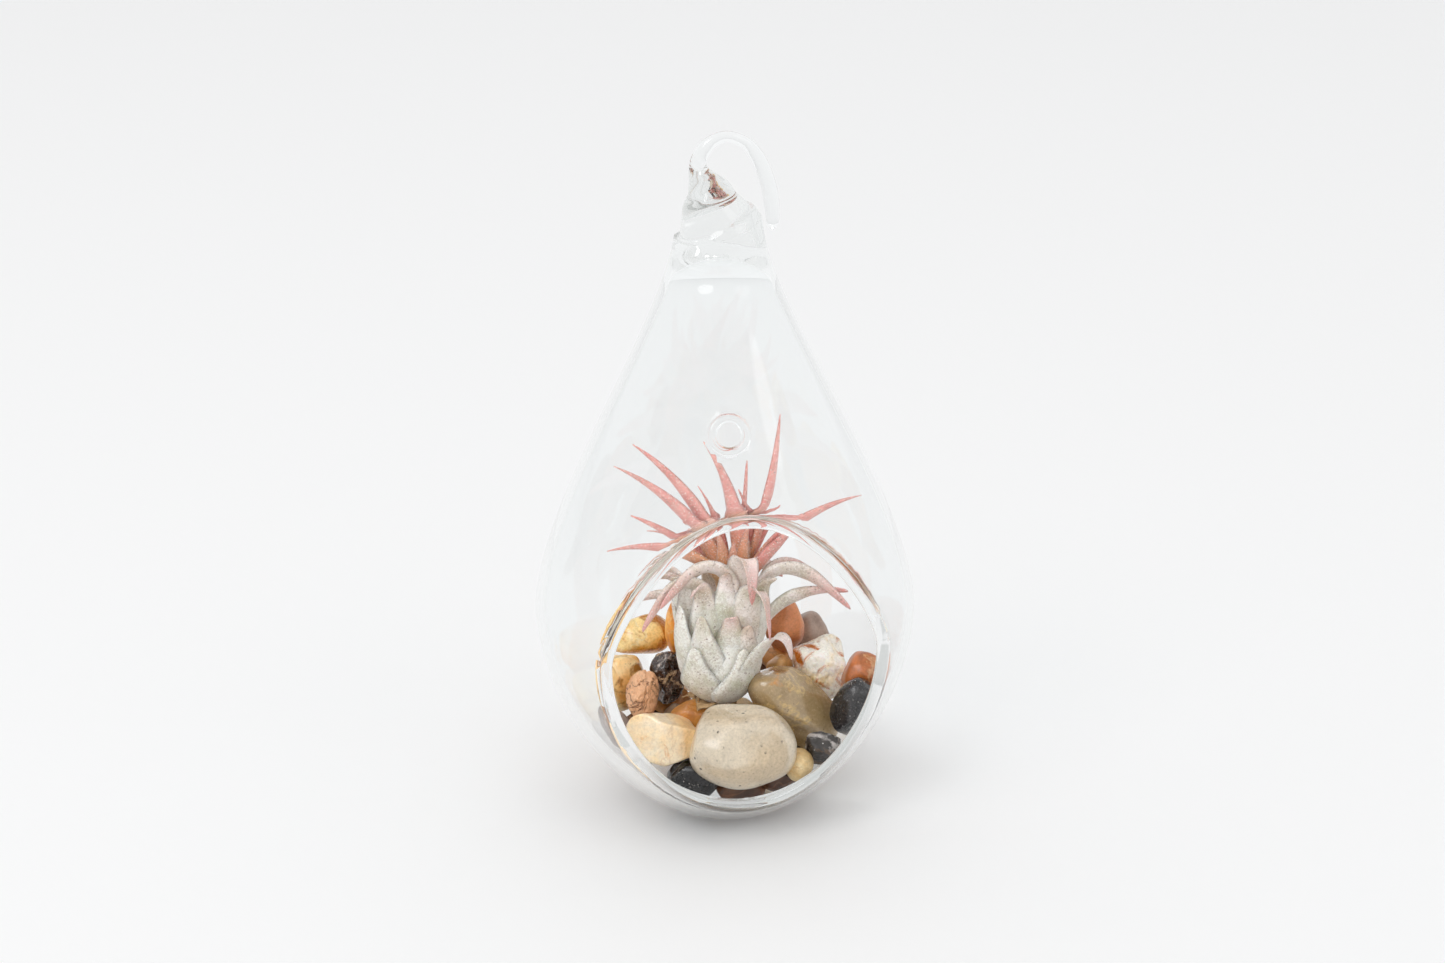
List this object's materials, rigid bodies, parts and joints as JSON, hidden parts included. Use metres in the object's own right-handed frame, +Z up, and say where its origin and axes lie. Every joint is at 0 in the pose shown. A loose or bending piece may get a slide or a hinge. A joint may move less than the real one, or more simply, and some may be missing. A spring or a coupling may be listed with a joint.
{
  "type": "teardrop terrarium",
  "caption": "Clear blown glass teardrop terrarium with a hook on top and a wide round front opening, holding a bed of polished pebbles and a small air plant with pink leaf tips.",
  "frame": {"origin": "middle of the flat the glass stands on, on the table under the glass axis", "axes": "+Z up along the axis of the glass through the neck, the front opening faces -Y, the hook hangs over to +X"},
  "size_m": [0.1, 0.0889, 0.1868],
  "materials": {
    "glass_vessel": "clear, fire polished",
    "air_plant": "living leaves with a fine whitish felt, tips turning pink",
    "bed_pebble_01": "tumbled, satin",
    "bed_pebble_02": "tumbled, satin",
    "bed_pebble_03": "tumbled, satin",
    "bed_pebble_04": "tumbled, satin",
    "bed_pebble_05": "tumbled, satin",
    "bed_pebble_06": "tumbled, satin",
    "bed_pebble_07": "tumbled, satin",
    "bed_pebble_08": "tumbled, satin",
    "bed_pebble_09": "tumbled, satin",
    "bed_pebble_10": "tumbled, satin",
    "bed_pebble_11": "tumbled, satin",
    "bed_pebble_12": "tumbled, satin",
    "bed_pebble_13": "tumbled, satin",
    "bed_pebble_14": "tumbled, satin",
    "bed_pebble_15": "tumbled, satin",
    "bed_pebble_16": "tumbled, satin",
    "bed_pebble_17": "tumbled, satin",
    "bed_pebble_18": "tumbled, satin",
    "bed_pebble_19": "tumbled, satin",
    "bed_pebble_20": "tumbled, satin",
    "glitter_pebble": "polished",
    "small_cream_pebble": "tumbled, satin",
    "slate_pebble": "tumbled, satin",
    "grey_pebble": "polished",
    "olive_pebble": "polished",
    "sparkle_pebble": "polished",
    "black_pebble": "polished",
    "rust_pebble": "tumbled, satin",
    "mauve_pebble": "tumbled, satin",
    "yellow_pebble": "tumbled, satin",
    "dark_quartz_pebble": "tumbled, satin",
    "taupe_pebble": "tumbled, satin",
    "rough_pebble": "tumbled, satin",
    "cream_pebble": "tumbled, satin",
    "caramel_pebble": "tumbled, satin",
    "quartz_pebble": "tumbled, satin",
    "small_tan_pebble": "tumbled, satin",
    "brown_pebble": "tumbled, satin",
    "amber_pebble": "tumbled, satin",
    "orange_pebble": "tumbled, satin"
  },
  "bodies": {
    "root": {"glass_vessel": "glass_vessel", "air_plant": "air_plant", "bed_pebble_01": "bed_pebble_01", "bed_pebble_02": "bed_pebble_02", "bed_pebble_03": "bed_pebble_03", "bed_pebble_04": "bed_pebble_04", "bed_pebble_05": "bed_pebble_05", "bed_pebble_06": "bed_pebble_06", "bed_pebble_07": "bed_pebble_07", "bed_pebble_08": "bed_pebble_08", "bed_pebble_09": "bed_pebble_09", "bed_pebble_10": "bed_pebble_10", "bed_pebble_11": "bed_pebble_11", "bed_pebble_12": "bed_pebble_12", "bed_pebble_13": "bed_pebble_13", "bed_pebble_14": "bed_pebble_14", "bed_pebble_15": "bed_pebble_15", "bed_pebble_16": "bed_pebble_16", "bed_pebble_17": "bed_pebble_17", "bed_pebble_18": "bed_pebble_18", "bed_pebble_19": "bed_pebble_19", "bed_pebble_20": "bed_pebble_20", "glitter_pebble": "glitter_pebble", "small_cream_pebble": "small_cream_pebble", "slate_pebble": "slate_pebble", "grey_pebble": "grey_pebble", "olive_pebble": "olive_pebble", "sparkle_pebble": "sparkle_pebble", "black_pebble": "black_pebble", "rust_pebble": "rust_pebble", "mauve_pebble": "mauve_pebble", "yellow_pebble": "yellow_pebble", "dark_quartz_pebble": "dark_quartz_pebble", "taupe_pebble": "taupe_pebble", "rough_pebble": "rough_pebble", "cream_pebble": "cream_pebble", "caramel_pebble": "caramel_pebble", "quartz_pebble": "quartz_pebble", "small_tan_pebble": "small_tan_pebble", "brown_pebble": "brown_pebble", "amber_pebble": "amber_pebble", "orange_pebble": "orange_pebble"}
  },
  "joints": []
}
